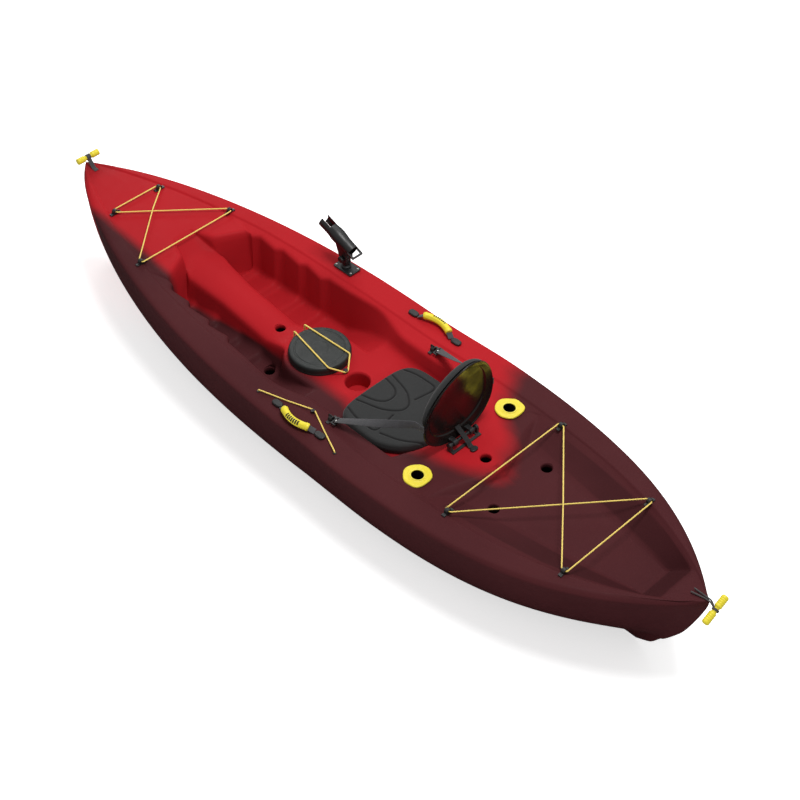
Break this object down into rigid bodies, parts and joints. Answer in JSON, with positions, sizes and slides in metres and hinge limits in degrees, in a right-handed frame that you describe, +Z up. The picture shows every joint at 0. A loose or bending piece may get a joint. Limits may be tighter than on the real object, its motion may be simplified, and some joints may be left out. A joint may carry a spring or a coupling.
{
  "type": "sit-on-top fishing kayak",
  "caption": "Sit-on-top fishing kayak with footwells, hatch, folding seat back, rod holders, deck cords, carry handles and toggles.",
  "frame": {"origin": "underside of the keel, amidships, on the centre line", "axes": "+X toward the bow, +Y to port, +Z up out of the deck"},
  "size_m": [3.1106, 0.792, 0.69],
  "materials": {
    "hull_plastic": "rotomoulded polyethylene, bright red blended into dark maroon, soft sheen",
    "black_plastic": "moulded black, low sheen",
    "yellow_plastic": "moulded yellow, soft sheen",
    "shock_cord": "braided elastic cord, yellow",
    "rope": "braided rope, dark grey",
    "webbing": "woven webbing, dark grey",
    "seat_foam": "closed-cell foam with a fine fabric-like face, charcoal",
    "steel": "bright stainless"
  },
  "bodies": {
    "kayak": {"backrest_hinge_bracket": "black_plastic", "backrest_hinge_pin": "black_plastic", "bow_cord": "shock_cord", "bow_pad_eye_front_port": "black_plastic", "bow_pad_eye_front_starboard": "black_plastic", "bow_pad_eye_rear_port": "black_plastic", "bow_pad_eye_rear_starboard": "black_plastic", "flush_rod_holder_flange_port": "yellow_plastic", "flush_rod_holder_flange_starboard": "yellow_plastic", "flush_rod_holder_tube_port": "yellow_plastic", "flush_rod_holder_tube_starboard": "yellow_plastic", "handle_bracket_front_port": "black_plastic", "handle_bracket_front_starboard": "black_plastic", "handle_bracket_rear_port": "black_plastic", "handle_bracket_rear_starboard": "black_plastic", "hatch_bucket": "black_plastic", "hatch_cord": "shock_cord", "hatch_cord_anchor_port": "black_plastic", "hatch_cord_anchor_starboard": "black_plastic", "hatch_cord_hook": "black_plastic", "hull": "hull_plastic", "paddle_keeper_cord": "shock_cord", "paddle_keeper_eyelet_front": "black_plastic", "paddle_keeper_eyelet_rear": "black_plastic", "paddle_keeper_hook": "black_plastic", "rear_strap": "webbing", "rear_strap_anchor": "black_plastic", "rod_holder_plate": "black_plastic", "rod_holder_screw_front_port": "steel", "rod_holder_screw_front_starboard": "steel", "rod_holder_screw_rear_port": "steel", "rod_holder_screw_rear_starboard": "steel", "seat_pad": "seat_foam", "seat_pad_eye_port": "black_plastic", "seat_pad_eye_starboard": "black_plastic", "seat_strap_clip_port": "black_plastic", "seat_strap_clip_starboard": "black_plastic", "seat_strap_port": "webbing", "seat_strap_starboard": "webbing", "stern_cord": "shock_cord", "stern_pad_eye_front_port": "black_plastic", "stern_pad_eye_front_starboard": "black_plastic", "stern_pad_eye_rear_port": "black_plastic", "stern_pad_eye_rear_starboard": "black_plastic"},
    "seat_back": {"backrest_shell": "black_plastic", "backrest_cushion": "seat_foam"},
    "hatch_lid": {"hatch_cover": "black_plastic"},
    "rod_post": {"rod_holder_post": "black_plastic"},
    "rod_cradle": {"rod_holder_cradle": "black_plastic", "rod_holder_knob": "black_plastic"},
    "handle_port": {"handle_grip_port": "yellow_plastic", "handle_strap_port": "webbing"},
    "handle_starboard": {"handle_grip_starboard": "yellow_plastic", "handle_strap_starboard": "webbing"},
    "bow_toggle": {"bow_toggle_grip": "yellow_plastic", "bow_toggle_strap": "webbing"},
    "stern_toggle": {"stern_toggle_grip": "yellow_plastic", "stern_toggle_rope": "rope"}
  },
  "joints": [
    {"name": "seat_back_fold", "type": "hinge", "parent": "kayak", "child": "seat_back", "pos_m": [-0.5, 0, 0.354], "axis": [0, 1, 0], "range_deg": [0, 50], "deforming": ["seat_strap_port", "seat_strap_starboard", "rear_strap"]},
    {"name": "hatch_lift", "type": "slide", "parent": "kayak", "child": "hatch_lid", "axis": [0, 0, 1], "range_m": [0, 0.06], "deforming": ["hatch_cord"]},
    {"name": "rod_post_swivel", "type": "hinge", "parent": "kayak", "child": "rod_post", "pos_m": [0.402, -0.322, 0.36], "axis": [0, 0, 1], "continuous": true},
    {"name": "rod_cradle_tilt", "type": "hinge", "parent": "rod_post", "child": "rod_cradle", "pos_m": [0.402, -0.322, 0.405], "axis": [0, 1, 0], "range_deg": [-60, 20]},
    {"name": "port_handle_swing", "type": "hinge", "parent": "kayak", "child": "handle_port", "pos_m": [-0.05, 0.326, 0.343], "axis": [1, 0, 0], "range_deg": [0, 85], "deforming": ["handle_strap_port"]},
    {"name": "starboard_handle_swing", "type": "hinge", "parent": "kayak", "child": "handle_starboard", "pos_m": [-0.05, -0.326, 0.343], "axis": [-1, 0, 0], "range_deg": [0, 85], "deforming": ["handle_strap_starboard"]},
    {"name": "bow_toggle_swing", "type": "hinge", "parent": "kayak", "child": "bow_toggle", "pos_m": [1.466, 0, 0.4], "axis": [0, 1, 0], "range_deg": [-70, 0], "deforming": ["bow_toggle_strap"]},
    {"name": "stern_toggle_swing", "type": "hinge", "parent": "kayak", "child": "stern_toggle", "pos_m": [-1.53, 0, 0.397], "axis": [0, 1, 0], "range_deg": [0, 70], "deforming": ["stern_toggle_rope"]}
  ]
}
